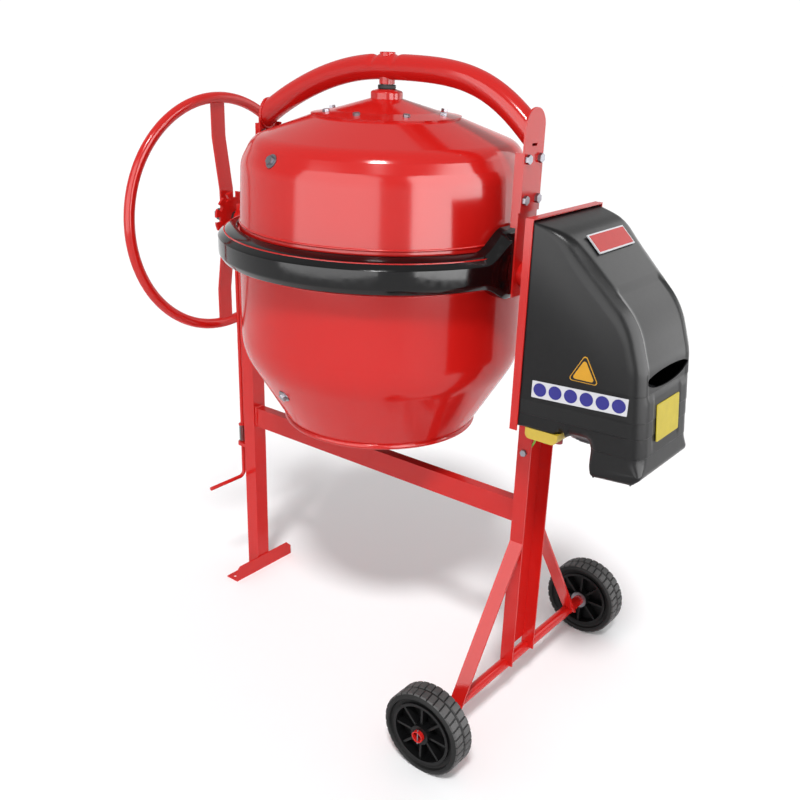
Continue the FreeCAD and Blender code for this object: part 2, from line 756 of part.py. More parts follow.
def paddles():
    """Two mixing blades on bent feet; the bolts through the wall are returned."""
    blade_y = (18.0, 23.0)
    outline = [(279.6, 1168, 0), (293.3, 1142.7, 0), (296, 1115, 0), (297, 800, 60),
               (280.8, 702.6, 0), (250.8, 652.6, 0), (232, 665, 0), (240, 760, 40),
               (224, 900, 60), (226, 1030, 60), (250, 1140, 30), (262, 1166, 0)]
    blade = plate_xz(outline, *blade_y)
    back = -drum_wall - 1.3
    foot_t = 4.0
    bolts = []
    for foot in (paddle_upper_foot, paddle_lower_foot):
        pad = box(back - foot_t, back, -15, blade_y[1], -15, 15)
        pad = pad.cut(rod_x(-15, 15, 0, 0, paddle_bolt / 2))
        blade = blade.fuse(wall_frame(pad, foot))
        fixing = bolt((0, 0, 0), (-1, 0, 0), paddle_bolt, foot_t - back, washer=14.0)
        bolts.append(wall_frame(fixing, foot))
    blade = blade.removeSplitter()
    for i, copy in enumerate(turned_copies(blade, 2, paddle_angle)):
        keep("paddle_%d" % (i + 1), copy)
    return [copy for one in bolts for copy in turned_copies(one, 2, paddle_angle)]


# ---------------------------------------------------------------- drive
def drive():
    nut = hexagon((472, 0, tilt_z), (1, 0, 0), 24, 8)
    keep("pinion_shaft", rod_x(314, 484, 0, tilt_z, shaft_r),
         nut.cut(rod_x(470, 490, 0, tilt_z, shaft_r)))
    keep("drive_pinion", pinion())
    bearings = []
    for x in (352.0, 413.0):
        bearings.extend(ball_bearing_x(x, 11, tilt_z, shaft_r + running, bearing_outer_r))
    keep("trunnion_bearings", *bearings)


def pinion():
    pitch = math.pi * gear_module
    half = pitch / 4 - backlash / 4
    slope = math.tan(math.radians(20))
    x0 = tooth_r0 + 0.5
    x1 = tooth_r1 - 0.5
    body = rod_x(x0, x1, 0, tilt_z, pinion_r - dedendum)
    tip = pinion_r + addendum
    root = pinion_r - dedendum - 1.5
    corners = [(-half - slope * dedendum * 0.5, tilt_z + root, 0),
               (-half, tilt_z + pinion_r - 0.2, 0),
               (-half + slope * addendum * 1.5, tilt_z + tip, 0),
               (half - slope * addendum * 1.5, tilt_z + tip, 0),
               (half, tilt_z + pinion_r - 0.2, 0),
               (half + slope * dedendum * 0.5, tilt_z + root, 0)]
    tooth = plate_yz(corners, x0, x1)
    gear = body.multiFuse(place_x(tooth, pinion_teeth, (0, tilt_z)))
    return gear.cut(rod_x(x0 - 1, x1 + 1, 0, tilt_z, shaft_r))


def grooved_pulley(track, rim_h, hub, bore, z, hub_x0, hub_x1):
    """Flat-track pulley with a flange each side of the belt."""
    half = belt_w / 2 + 0.6
    cheek = half + 1.8
    x = pulley_x
    if track > 40:
        outline = [(hub_x0, bore, 0), (hub_x1, bore, 0), (hub_x1, hub, 0), (x + 3, hub, 0),
                   (x + 3, track - 8, 6), (x + cheek, track - 8, 0),
                   (x + cheek, track + rim_h, 0), (x + half, track + rim_h, 0),
                   (x + half, track, 0), (x - half, track, 0), (x - half, track + rim_h, 0),
                   (x - cheek, track + rim_h, 0), (x - cheek, track - 8, 0),
                   (x - 3, track - 8, 6), (x - 3, hub, 0), (hub_x0, hub, 0)]
    else:
        outline = [(hub_x0, bore, 0), (hub_x1, bore, 0), (hub_x1, track + rim_h, 0),
                   (x + half, track + rim_h, 0), (x + half, track, 0), (x - half, track, 0),
                   (x - half, track + rim_h, 0), (hub_x0, track + rim_h, 0)]
    return turned_x(outline, 0, z)


def belt_loop(extra, x0, x1):
    """Area inside the belt's run round both pulleys, grown by extra."""
    big = big_pulley_r + extra
    small = small_pulley_r + extra
    lean = math.asin((big - small) / (tilt_z - motor_z))
    side, lift = math.cos(lean), -math.sin(lean)
    big_r = V(x0, big * side, tilt_z + big * lift)
    big_l = V(x0, -big * side, tilt_z + big * lift)
    small_r = V(x0, small * side, motor_z + small * lift)
    small_l = V(x0, -small * side, motor_z + small * lift)
    wire = Part.Wire([Part.Arc(big_r, V(x0, 0, tilt_z + big), big_l).toShape(),
                      Part.LineSegment(big_l, small_l).toShape(),
                      Part.Arc(small_l, V(x0, 0, motor_z - small), small_r).toShape(),
                      Part.LineSegment(small_r, big_r).toShape()])
    return Part.Face(wire).extrude(V(x1 - x0, 0, 0))


def belt_drive():
    flange_h = 5.0
    keep("big_pulley", grooved_pulley(big_pulley_r, flange_h, 20, shaft_r, tilt_z, 436, 472))
    keep("motor_pulley", grooved_pulley(small_pulley_r, 3.5, 0, motor_shaft_r, motor_z,
                                        pulley_x - 10, pulley_x + 12))
    x0 = pulley_x - belt_w / 2
    x1 = pulley_x + belt_w / 2
    slack = 0.35
    keep("drive_belt", belt_loop(slack + belt_t, x0, x1).cut(belt_loop(slack, x0 - 1, x1 + 1)))


def motor():
    cap = 8.0
    skin = 4.0
    can = tube_x(motor_x0 + cap, motor_x1 - cap, 0, motor_z, motor_r, motor_r - skin)
    fins = []
    for i in range(24):
        fin = box(motor_x0 + cap + 6, motor_x1 - cap - 6, -1.2, 1.2,
                  motor_z + motor_r - 1, motor_z + motor_r + 2.5)
        fin.rotate(V(0, 0, motor_z), V(1, 0, 0), 15 * i + 7.5)
        fins.append(fin)
    keep("motor_can", can.multiFuse(fins))
    keep("motor_stator", tube_x(545, 615, 0, motor_z, motor_r - skin, 38.0))
    bore = motor_shaft_r + running
    front = turned_x([(motor_x0, bore, 0), (motor_x0 + cap, bore, 0),
                      (motor_x0 + cap, motor_r, 0), (motor_x0, motor_r, 3)], 0, motor_z)
    rear = turned_x([(motor_x1 - cap, bore, 0), (motor_x1, bore, 0), (motor_x1, motor_r, 5),
                     (motor_x1 - cap, motor_r, 0)], 0, motor_z)
    spots = [(sy * 38, motor_z + up) for sy in (-1, 1) for up in (12, 36)]
    for y, z in spots:
        front = front.cut(rod_x(motor_x0 - 1, motor_x0 + cap + 1, y, z, 3.0))
    keep("motor_end_caps", front, rear)
    rotor = rod_x(546, 614, 0, motor_z, 37.4)
    keep("motor_rotor", rotor.fuse(rod_x(pulley_x - 12, motor_x1 - 1, 0, motor_z, motor_shaft_r)))

    low, high = 733.0, 806.0
    bracket = box(motor_x0 - 4, motor_x0, -79, 79, low, high)
    for y in (-79, 76):
        bracket = bracket.fuse(box(cover_x0 + cover_sheet, motor_x0, y, y + 3, low, high))
    bracket = bracket.cut(rod_x(motor_x0 - 10, motor_x0 + 1, 0, motor_z, 20))
    for y, z in spots:
        bracket = bracket.cut(rod_x(motor_x0 - 5, motor_x0 + 1, y, z, 3.0))
    keep("motor_bracket", bracket.removeSplitter())
    keep("motor_bolts", *[bolt((motor_x0 - 4, y, z), (1, 0, 0), 6, 4 + cap, nut=False)
                          for y, z in spots])


# ---------------------------------------------------------------- cover and switch
def back_plate():
    x0 = cover_x0
    sheet = cover_sheet
    plate = box(x0, x0 + cover_flange, -cover_half_y, cover_half_y, cover_z0, cover_z1)
    plate = plate.cut(box(x0 + sheet, x0 + cover_flange + 1, -cover_half_y + sheet,
                          cover_half_y - sheet, cover_z0 - 1, cover_z1 - sheet))
    plate = plate.cut(rod_x(x0 - 1, x0 + 5, 0, tilt_z, trunnion_tube_r + 4))
    for y, z in housing_screw_places():
        plate = plate.cut(rod_x(x0 - 1, x0 + 5, y, z, 2.5))
    keep("back_plate", plate)


def housing_screw_places():
    return [(side * 112, z) for side in (-1, 1) for z in (722, 900, 1066)]


def housing_solid(inset):
    """Outer form of the housing, or its hollow when inset is the wall."""
    x0 = cover_x0 + cover_sheet
    path = [(x0, cover_z1 - cover_sheet - 0.1, 0), (505, 1076, 100), (650, 938, 150),
            (676, 858, 120), (housing_x1, 655, 16), (680, 640, 10), (592, 634, 10),
            (577, housing_floor_z, 4), (x0, housing_floor_z, 0)]
    half = cover_half_y - cover_sheet - 0.1
    if inset:
        path = offset_path(path, -inset)
        path[0] = (x0 - 5, path[0][1] + 1.0, 0)
        path[-1] = (x0 - 5, path[-1][1], 0)
    side = plate_xz(path, -200, 200)
    tip_half = 108.0
    start = x0 - 5 if inset else x0
    wedge = plate_xy([(start, -half + inset, 0), (450, -half + inset, 0),
                      (720, -tip_half + inset, 0), (720, tip_half - inset, 0),
                      (450, half - inset, 0), (start, half - inset, 0)], 600, 1120)
    solid = side.common(wedge)
    return rounded_housing(solid, 18.0 - inset)


def rounded_housing(solid, radius):
    """Round the long edges where the roof and outer face meet the sides."""
    edges = []
    for edge in solid.Edges:
        box_ = edge.BoundBox
        on_side = box_.YLength < 20 and abs(box_.Center.y) > 80
        if on_side and box_.ZMin > 642 and box_.XMin > 449.9 and box_.XMax > 600:
            edges.append(edge)
        elif on_side and box_.ZMin > 900 and box_.XMin > 449.9:
            edges.append(edge)
    return solid.makeFillet(radius, edges)


def motor_housing():
    outer = housing_solid(0)
    inner = housing_solid(housing_wall)
    pocket = box(446, 526, -200, -cover_half_y + 9, 690, 757)
    pocket_in = box(446 - housing_wall, 526 + housing_wall, -200,
                    -cover_half_y + 9 + housing_wall, 690, 757 + housing_wall)
    shell = outer.cut(pocket).cut(inner.cut(pocket_in))
    hand_slot = finger_slot(640, 720)
    label_recess = plate_xz([(690.9, 700, 0), (680.3, 802, 0), (720, 802, 0), (720, 700, 0)], -60, 54)
    shell = shell.cut(hand_slot).cut(label_recess)
    shell = shell.cut(rod_x(500, 600, 0, motor_z, motor_r + 5))
    shell = shell.cut(box(switch_x0 + 5, switch_x1 - 5, switch_y0 + 5, switch_y1 - 5, 695, 705))
    bosses = []
    for y, z in housing_screw_places():
        bosses.append(tube_x(cover_x0 + cover_sheet, cover_x0 + 24, y, z, 6.0, 2.0))
    shell = shell.multiFuse(bosses)
    keep("motor_housing", max(shell.Solids, key=lambda s: s.Volume))
    keep("housing_screws", *[screw_x(cover_x0, y, z) for y, z in housing_screw_places()])


def finger_slot(x0, x1):
    """Slot with a nearly straight top and a sagging lower lip."""
    left = V(x0, -slot_half_y, slot_z)
    right = V(x0, slot_half_y, slot_z)
    top = Part.Arc(left, V(x0, 0, slot_z + slot_rise), right).toShape()
    lip = Part.Arc(right, V(x0, 0, slot_z - slot_sag), left).toShape()
    return Part.Face(Part.Wire([top, lip])).extrude(V(x1 - x0, 0, 0))


def screw_x(x, y, z):
    """Pan-head screw through the back plate into a housing boss."""
    head = turned_x([(x - 3, 0, 0), (x, 0, 0), (x, 5, 0), (x - 3, 5, 2)], y, z)
    return head.fuse(rod_x(x, x + 18, y, z, 2.0))


def switch():
    floor = housing_floor_z
    depth = 30.0
    bezel = plate_xz([(switch_x0, floor, 0), (switch_x0, switch_z0, 10), (switch_x1, switch_z0, 14),
                      (switch_x1, floor, 0)], switch_y0, switch_y1)
    insert = box(switch_x0 + 5.5, motor_x0 - 3, switch_y0 + 5.5, switch_y1 - 5.5, floor,
                 floor + depth)
    for x, y, r in (start_place, stop_place):
        bezel = bezel.cut(rod_z(x, y, switch_z0 - 1, switch_z0 + 14, r + 0.3))
    socket = rod_z(472, -90, switch_z0 - 1, switch_z0 + 18, 9.5)
    bezel = bezel.cut(socket)
    keep("switch_bezel", bezel)
    pins = [rod_z(472 + 5 * math.cos(a), -90 + 5 * math.sin(a), switch_z0 + 4, switch_z0 + 18, 1.5)
            for a in (0.5, 2.6, 4.7)]
    keep("switch_body", insert, *pins)
    for name, (x, y, r) in (("start_button", start_place), ("stop_button", stop_place)):
        cap = rod_z(x, y, switch_z0 - 4, switch_z0 + 14 - button_travel - 1, r)
        keep(name, cap)


def earth_lead():
    """Green and yellow bonding wire from the switch to a bolt on the channel."""
    start = (462.0, switch_y1 + 2.3)
    end = (channel_bolt_x + 4, -channel_w / 2 + sheet_t + 10.0)
    run = math.dist(start, end)
    heading = unit(start, end)

    def place(s, z):
        return V(start[0] + heading[0] * s, start[1] + heading[1] * s, z)

    wire_r = 2.0
    path = Part.Wire(rounded_edges([(0.1, 690, 0), (0.42 * run, 687, 12), (0.55 * run, 640, 18),
                                    (run, channel_bolt_z + 4, 0)], place, False))
    ring = Part.Wire(Part.makeCircle(wire_r, place(0, 690), place(0.42 * run, 687) - place(0, 690)))
    keep("earth_lead", path.makePipeShell([ring], True, True))


# ---------------------------------------------------------------- tilt lock
def tilt_lock():
    tip_z = tilt_z - disc_r - 1.0
    pedal_z = 262.0
    pedal_y = -118.0
    wire = Part.Wire(rounded_edges([(0, tip_z, 0), (0, pedal_z, 16), (pedal_y, pedal_z, 0)],
                                   lambda u, v: V(-lock_x, u, v), False))
    circle = Part.Wire(Part.makeCircle(lock_rod_r, V(-lock_x, 0, tip_z), V(0, 0, -1)))
    spring_z0 = 362.0
    spring_z1 = 410.0
    washer = rod_z(-lock_x, 0, spring_z1, spring_z1 + 3, 10)
    keep("lock_rod", wire.makePipeShell([circle], True, True).fuse(washer))
    guide_h = 9.0
    guides = []
    for z in (spring_z0 - guide_h, 846.0):
        guide = plate_xy([(-post_x - post_dx, -12, 0), (-post_x - post_dx, 12, 0),
                          (-lock_x - 12, 12, 11), (-lock_x - 12, -12, 11)], z, z + guide_h)
        guides.append(guide.cut(rod_z(-lock_x, 0, z - 1, z + guide_h + 1, lock_rod_r + running)))
    keep("lock_rod_guides", *guides)
    wire_r = 1.2
    coil_r = lock_rod_r + 3.0
    turns = 8
    height = spring_z1 - spring_z0 - 2 * wire_r
    helix = Part.makeHelix(height / turns, height, coil_r)
    section = Part.Wire(Part.makeCircle(wire_r, V(coil_r, 0, 0), V(0, 1, 0)))
    spring = Part.Wire(helix.Edges).makePipeShell([section], True, True)
    spring.translate(V(-lock_x, 0, spring_z0 + wire_r))
    keep("lock_spring", spring)


if __name__ == "__main__":
    stand_frame()
    right_frame()
    wheels()
    yoke()
    drum()
    drive()
    belt_drive()
    motor()
    back_plate()
    motor_housing()
    switch()
    earth_lead()
    tilt_lock()
    save()
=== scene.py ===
import bpy
import bmesh
import json
import math
from mathutils import Matrix, Vector
from mathutils.bvhtree import BVHTree


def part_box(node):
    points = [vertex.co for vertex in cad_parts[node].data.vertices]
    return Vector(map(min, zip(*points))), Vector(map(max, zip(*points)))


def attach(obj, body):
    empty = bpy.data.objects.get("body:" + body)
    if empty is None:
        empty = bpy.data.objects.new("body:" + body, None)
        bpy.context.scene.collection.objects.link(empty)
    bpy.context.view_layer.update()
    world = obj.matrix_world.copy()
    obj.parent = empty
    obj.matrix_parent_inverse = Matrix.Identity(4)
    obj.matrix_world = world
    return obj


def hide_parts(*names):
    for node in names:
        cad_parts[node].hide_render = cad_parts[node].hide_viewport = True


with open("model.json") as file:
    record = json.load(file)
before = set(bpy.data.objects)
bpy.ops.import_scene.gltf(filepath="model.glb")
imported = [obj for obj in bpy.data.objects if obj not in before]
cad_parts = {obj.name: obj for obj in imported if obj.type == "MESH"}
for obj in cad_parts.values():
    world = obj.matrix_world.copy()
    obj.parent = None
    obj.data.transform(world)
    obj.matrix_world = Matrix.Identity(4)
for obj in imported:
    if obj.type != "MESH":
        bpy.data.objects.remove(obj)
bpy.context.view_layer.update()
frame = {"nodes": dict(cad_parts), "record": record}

TAU = 2 * math.pi


# ---------------------------------------------------------------- places read from the frame
def middle(node):
    low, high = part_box(node)
    return (Vector(low) + Vector(high)) / 2


drum_axis = middle("drum_spindle")
drum_axis.z = 0.0
tilt_z = middle("left_trunnion").z


def box_mm(node):
    """Low and high corner of a node's box, in millimetres from the drum's axis."""
    return [((x - drum_axis.x) * 1000, y * 1000, z * 1000) for x, y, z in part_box(node)]


# ---------------------------------------------------------------- materials
noise_band = (0.3, 0.7)                  # the part of a noise that carries most of it
edge_band = (0.53, 0.6)                  # pointiness of a worn edge
patch_band = (0.45, 0.6)                 # noise that breaks the wear into patches
fine_ratio = 7                           # fine noise against the broad mottle


def linear(r, g, b):
    """Linear colour of an sRGB one given in 0 to 255."""
    def one(c):
        c /= 255
        return c / 12.92 if c <= 0.04045 else ((c + 0.055) / 1.055) ** 2.4
    return (one(r), one(g), one(b), 1.0)


def scaled(colour, k):
    return (colour[0] * k, colour[1] * k, colour[2] * k, 1.0)


def new_material(name):
    m = bpy.data.materials.new(name)
    m.use_nodes = True
    return m, m.node_tree.nodes, m.node_tree.links, m.node_tree.nodes["Principled BSDF"]


def noise_node(nodes, links, coords, scale, detail=4.0, roughness=0.55):
    n = nodes.new("ShaderNodeTexNoise")
    n.inputs["Scale"].default_value = scale
    n.inputs["Detail"].default_value = detail
    n.inputs["Roughness"].default_value = roughness
    links.new(coords, n.inputs["Vector"])
    return n.outputs["Fac"]


def remap(nodes, links, value, lo_in, hi_in, lo_out, hi_out):
    n = nodes.new("ShaderNodeMapRange")
    n.inputs["From Min"].default_value = lo_in
    n.inputs["From Max"].default_value = hi_in
    n.inputs["To Min"].default_value = lo_out
    n.inputs["To Max"].default_value = hi_out
    links.new(value, n.inputs["Value"])
    return n.outputs["Result"]


def blend_colour(nodes, links, fac, a, b):
    n = nodes.new("ShaderNodeMix")
    n.data_type = "RGBA"
    links.new(fac, n.inputs["Factor"])
    for socket, value in ((n.inputs["A"], a), (n.inputs["B"], b)):
        if isinstance(value, tuple):
            socket.default_value = value
        else:
            links.new(value, socket)
    return n.outputs["Result"]


def surface(name, colour, rough, metallic=0.0, coat=0.0, coat_rough=0.05, specular=0.5,
            mottle=0.08, mottle_scale=9.0, rough_spread=0.06, grain=0.0, grain_scale=400.0,
            wear=0.0, wear_colour=None):
    """Principled surface with mottled colour, uneven gloss, fine bump and edge wear."""
    m, nodes, links, p = new_material(name)
    coords = nodes.new("ShaderNodeTexCoord").outputs["Object"]
    broad = noise_node(nodes, links, coords, mottle_scale)
    fac = remap(nodes, links, broad, *noise_band, 0.0, 1.0)
    base = blend_colour(nodes, links, fac, scaled(colour, 1 - mottle), scaled(colour, 1 + mottle))
    fine = noise_node(nodes, links, coords, mottle_scale * fine_ratio, 6.0)
    if wear > 0:
        geometry = nodes.new("ShaderNodeNewGeometry")
        edge = remap(nodes, links, geometry.outputs["Pointiness"], *edge_band, 0.0, wear)
        patch = nodes.new("ShaderNodeMath")
        patch.operation = "MULTIPLY"
        links.new(edge, patch.inputs[0])
        links.new(remap(nodes, links, fine, *patch_band, 0.0, 1.0), patch.inputs[1])
        base = blend_colour(nodes, links, patch.outputs["Value"], base, wear_colour)
    links.new(base, p.inputs["Base Color"])
    links.new(remap(nodes, links, fine, *noise_band, rough - rough_spread,
                    rough + rough_spread), p.inputs["Roughness"])
    p.inputs["Metallic"].default_value = metallic
    p.inputs["Coat Weight"].default_value = coat
    p.inputs["Coat Roughness"].default_value = coat_rough
    p.inputs["Specular IOR Level"].default_value = specular
    if grain > 0:
        bump = nodes.new("ShaderNodeBump")
        bump.inputs["Strength"].default_value = 1.0
        bump.inputs["Distance"].default_value = grain
        links.new(noise_node(nodes, links, coords, grain_scale, 3.0), bump.inputs["Height"])
        links.new(bump.outputs["Normal"], p.inputs["Normal"])
    return m


materials = {
    "red_paint": surface("red_paint", linear(198, 28, 24), 0.3, coat=0.75, specular=0.0,
                         coat_rough=0.14, mottle=0.012, mottle_scale=4, rough_spread=0.02,
                         grain=0.000003, grain_scale=60, wear=0.04,
                         wear_colour=linear(150, 26, 22)),
    # worn_rubber: its lighter grey on the tyres' tread blocks is painted sheen, standing in for the
    # light the blocks catch, not a colour of their own
    "worn_rubber": surface("worn_rubber", linear(62, 61, 61), 0.6, specular=0.4, mottle=0.3,
                           mottle_scale=30, grain=0.0001, grain_scale=500),
    "bright_steel": surface("bright_steel", linear(132, 132, 138), 0.34, metallic=1.0, mottle=0.12,
                            mottle_scale=60, grain=0.00003, grain_scale=900),
    "dark_steel": surface("dark_steel", linear(78, 76, 76), 0.38, metallic=0.9, mottle=0.2,
                          mottle_scale=40, grain=0.00003, grain_scale=700),
    "cast_iron": surface("cast_iron", linear(70, 68, 68), 0.6, metallic=0.7, mottle=0.25,
                         mottle_scale=30, grain=0.0002, grain_scale=300),
    "black_shell": surface("black_shell", linear(13, 13, 14), 0.3, specular=0.24, mottle=0.05,
                           mottle_scale=14, rough_spread=0.02, grain=0.000004, grain_scale=260,
                           wear=0.03, wear_colour=linear(60, 60, 60)),
    "black_guard": surface("black_guard", linear(9, 9, 10), 0.11, specular=0.32, mottle=0.2,
                           mottle_scale=12, rough_spread=0.05, grain=0.00003, grain_scale=80),
    "tyre_rubber": surface("tyre_rubber", linear(18, 18, 18), 0.6, specular=0.22, mottle=0.25,
                           mottle_scale=40, grain=0.0001, grain_scale=500),
    "red_plastic": surface("red_plastic", linear(150, 34, 44), 0.4, mottle=0.1, mottle_scale=60),
    "yellow_plastic": surface("yellow_plastic", linear(196, 168, 46), 0.38, mottle=0.06,
                              mottle_scale=60, grain=0.00003, grain_scale=700),
    "black_plastic": surface("black_plastic", linear(13, 13, 14), 0.42, specular=0.2, mottle=0.15,
                             mottle_scale=40, grain=0.00004, grain_scale=500),
    "green_plastic": surface("green_plastic", linear(30, 140, 60), 0.4, mottle=0.08, mottle_scale=90),
    "black_rubber": surface("black_rubber", linear(26, 26, 26), 0.65, specular=0.35, mottle=0.2,
                            mottle_scale=60, grain=0.00005, grain_scale=800),
    "motor_grey": surface("motor_grey", linear(84, 86, 90), 0.45, mottle=0.12, mottle_scale=30,
                          grain=0.00005, grain_scale=500),
    "copper_winding": surface("copper_winding", linear(150, 84, 44), 0.4, metallic=0.8, mottle=0.2,
                              mottle_scale=90, grain=0.0002, grain_scale=900),
    "wire_insulation": surface("wire_insulation", linear(110, 170, 40), 0.45, mottle=0.3,
                               mottle_scale=120),
    "alloy": surface("alloy", linear(176, 176, 178), 0.4, metallic=0.9, mottle=0.12,
                     mottle_scale=50, grain=0.00008, grain_scale=400),
}
for name, colour, mottle, mottle_scale in (("white_film", (206, 206, 210), 0.02, 40),
                                           ("blue_film", (44, 42, 128), 0.06, 60),
                                           ("amber_film", (205, 150, 34), 0.04, 60),
                                           ("black_film", (18, 15, 12), 0.1, 60),
                                           ("yellow_film", (198, 178, 44), 0.05, 50),
                                           ("badge_red", (180, 44, 42), 0.05, 50)):
    materials[name] = surface(name, linear(*colour), 0.4, specular=0.2, mottle=mottle,
                              mottle_scale=mottle_scale)

slot_of = {part["node"]: part["material_slot"] for part in frame["record"]["subparts"]}
for name, node in frame["nodes"].items():
    wanted = materials[slot_of[name]]
    if node.material_slots:
        for slot in node.material_slots:
            slot.material = wanted
    else:
        node.data.materials.append(wanted)

# ---------------------------------------------------------------- mesh helpers
def at(x, y, z):
    """A point given in millimetres from the drum's axis, at floor level."""
    return Vector((drum_axis.x + x / 1000, y / 1000, z / 1000))


def place(bm, name, body, slot, replaces=(), sharp=35.0, material=None):
    """Turn a bmesh into a piece: smooth faces, sharp edges by angle, on its body."""
    bmesh.ops.recalc_face_normals(bm, faces=bm.faces)
    limit = math.radians(sharp)
    for face in bm.faces:
        face.smooth = True
    for edge in bm.edges:
        edge.smooth = len(edge.link_faces) == 2 and edge.calc_face_angle(0.0) < limit
    mesh = bpy.data.meshes.new(name)
    bm.to_mesh(mesh)
    bm.free()
    o = bpy.data.objects.new(name, mesh)
    bpy.context.collection.objects.link(o)
    mesh.materials.append(materials[material or slot])
    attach(o, body)
    if replaces:
        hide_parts(*replaces)
    return o


def rounded(points, closed=False, step=0.0, arc=8):
    """Points along straight runs whose corners (u, v, radius) are rounded."""
    n = len(points)
    out = []
    for i, (u, v, r) in enumerate(points):
        corner = Vector((u, v))
        if r > 0 and (closed or 0 < i < n - 1):
            a = (Vector(points[i - 1][:2]) - corner).normalized()
            b = (Vector(points[(i + 1) % n][:2]) - corner).normalized()
            half = a.angle(b) / 2
            reach = r / math.tan(half)
            centre = corner + (a + b).normalized() * (r / math.sin(half))
            start = corner + a * reach - centre
            sweep = math.pi - 2 * half
            turn = 1 if start.y * (a + b).x - start.x * (a + b).y > 0 else -1
            for k in range(arc + 1):
                t = turn * sweep * k / arc
                out.append(centre + Vector((start.x * math.cos(t) - start.y * math.sin(t),
                                            start.x * math.sin(t) + start.y * math.cos(t))))
        else:
            out.append(corner)
    if step > 0:
        dense = []
        pairs = zip(out, out[1:] + out[:1] if closed else out[1:])
        for p, q in pairs:
            parts = max(1, round((q - p).length / step))
            dense.extend(p.lerp(q, k / parts) for k in range(parts))
        if not closed:
            dense.append(out[-1])
        out = dense
    return out


def bridge(bm, rings, closed_rings=True, closed_path=False):
    """Faces between rings of vertices that all have the same count."""
    count = len(rings[0])
    spans = count if closed_rings else count - 1
    pairs = list(zip(rings, rings[1:] + rings[:1] if closed_path else rings[1:]))
    for a, b in pairs:
        for i in range(spans):
            j = (i + 1) % count
            bm.faces.new((a[i], a[j], b[j], b[i]))


def cap(bm, rings):
    bm.faces.new(rings[0])
    bm.faces.new(rings[-1][::-1])


def capped(bm, rings):
    """Closed solid from rings."""
    bridge(bm, rings)
    cap(bm, rings)


def lathe(bm, outline, centre, axis, segments):
    """Turn a closed (radius, along) outline in millimetres about a line along Z or Y."""
    rings = []
    for k in range(segments):
        c, s = math.cos(TAU * k / segments), math.sin(TAU * k / segments)
        ring = []
        for r, h in outline:
            r, h = r / 1000, h / 1000
            if axis == "Z":
                p = (centre.x + r * c, centre.y + r * s, h)
            else:
                p = (centre.x + r * c, h, centre.z + r * s)
            ring.append(bm.verts.new(p))
        rings.append(ring)
    bridge(bm, rings, True, True)


def sweep_tube(bm, path, radius, sides, caps=True, closed=False):
    """Round tube along points, carried without twist."""
    tangents = []
    n = len(path)
    for i in range(n):
        a = path[i - 1] if i > 0 or closed else path[i]
        b = path[(i + 1) % n] if i < n - 1 or closed else path[i]
        tangents.append((b - a).normalized())
    side = tangents[0].orthogonal().normalized()
    rings = []
    for p, t in zip(path, tangents):
        side = (side - t * side.dot(t)).normalized()
        up = t.cross(side)
        rings.append([bm.verts.new(p + (side * math.cos(TAU * k / sides)
                                        + up * math.sin(TAU * k / sides)) * radius)
                      for k in range(sides)])
    bridge(bm, rings, True, closed)
    if caps and not closed:
        cap(bm, rings)
    return rings


def apply_modifiers(o):
    """Replace the object's mesh by its evaluated one."""
    evaluated = o.evaluated_get(bpy.context.evaluated_depsgraph_get())
    mesh = bpy.data.meshes.new_from_object(evaluated)
    old = o.data
    o.modifiers.clear()
    o.data = mesh
    bpy.data.meshes.remove(old)


def loose_object(bm, name):
    mesh = bpy.data.meshes.new(name)
    bmesh.ops.recalc_face_normals(bm, faces=bm.faces)
    bm.to_mesh(mesh)
    bm.free()
    o = bpy.data.objects.new(name, mesh)
    bpy.context.collection.objects.link(o)
    return o


def mesh_of(o):
    """Take the object's mesh into a bmesh and drop the object."""
    bm = bmesh.new()
    bm.from_mesh(o.data)
    bpy.data.objects.remove(o)
    return bm


def cut_plane(bm, point, normal, clear_outer=False):
    bmesh.ops.bisect_plane(bm, geom=bm.verts[:] + bm.edges[:] + bm.faces[:], plane_co=point,
                           plane_no=normal, clear_outer=clear_outer)


def cut_away(o, cutters):
    for cutter in cutters:
        m = o.modifiers.new("cut", "BOOLEAN")
        m.operation = "DIFFERENCE"
        m.solver = "FAST"
        m.object = cutter
    apply_modifiers(o)
    for cutter in cutters:
        mesh = cutter.data
        bpy.data.objects.remove(cutter)
        bpy.data.meshes.remove(mesh)


def prism(outline, axis, low, high):
    """Solid from a closed outline of (u, v) in mm, pulled along an axis of the frame."""
    bm = bmesh.new()
    sides = []
    for h in (low, high):
        ring = []
        for u, v in outline:
            ring.append(bm.verts.new(at(*{"X": (h, u, v), "Y": (u, h, v), "Z": (u, v, h)}[axis])))
        sides.append(ring)
    bridge(bm, sides)
    for ring in sides:
        bm.faces.new(ring)
    return bm


def box_outline(u0, u1, v0, v1, r):
    return rounded([(u0, v0, r), (u1, v0, r), (u1, v1, r), (u0, v1, r)], closed=True)


# ---------------------------------------------------------------- black housing
housing_low, housing_high = (Vector(corner) * 1000 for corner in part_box("motor_housing"))
housing_x0 = housing_low.x - drum_axis.x * 1000
housing_x1 = housing_high.x - drum_axis.x * 1000
housing_foot, housing_top = housing_low.z, housing_high.z
housing_half = housing_high.y
housing_floor = 700.0                    # underside, beside the foot
housing_wall = 3.0
housing_ledges = ((810.0, 0.9), (760.0, 0.8), (730.0, 0.8), (692.0, 0.8))   # level, set-back
ledge_band = 1.2                         # height over which a ledge steps back
ledge_clear = 20.0                       # no ledge this close to the back plate
side_gap, side_taper = 0.3, 0.069        # the sides draw in towards the outer face
edge_steps, flat_steps = 7, 40           # points round an edge and across the roof

roof_edge_r, outer_edge_r = 5.0, 30.0
roof_edge_end_x = 560.0                  # the edge has opened out fully here
foot_edge_z, foot_edge_run, foot_edge_loss = 690.0, 40.0, 20.0
under_edge_x, under_edge_z, under_edge_r = 600.0, 900.0, 7.0

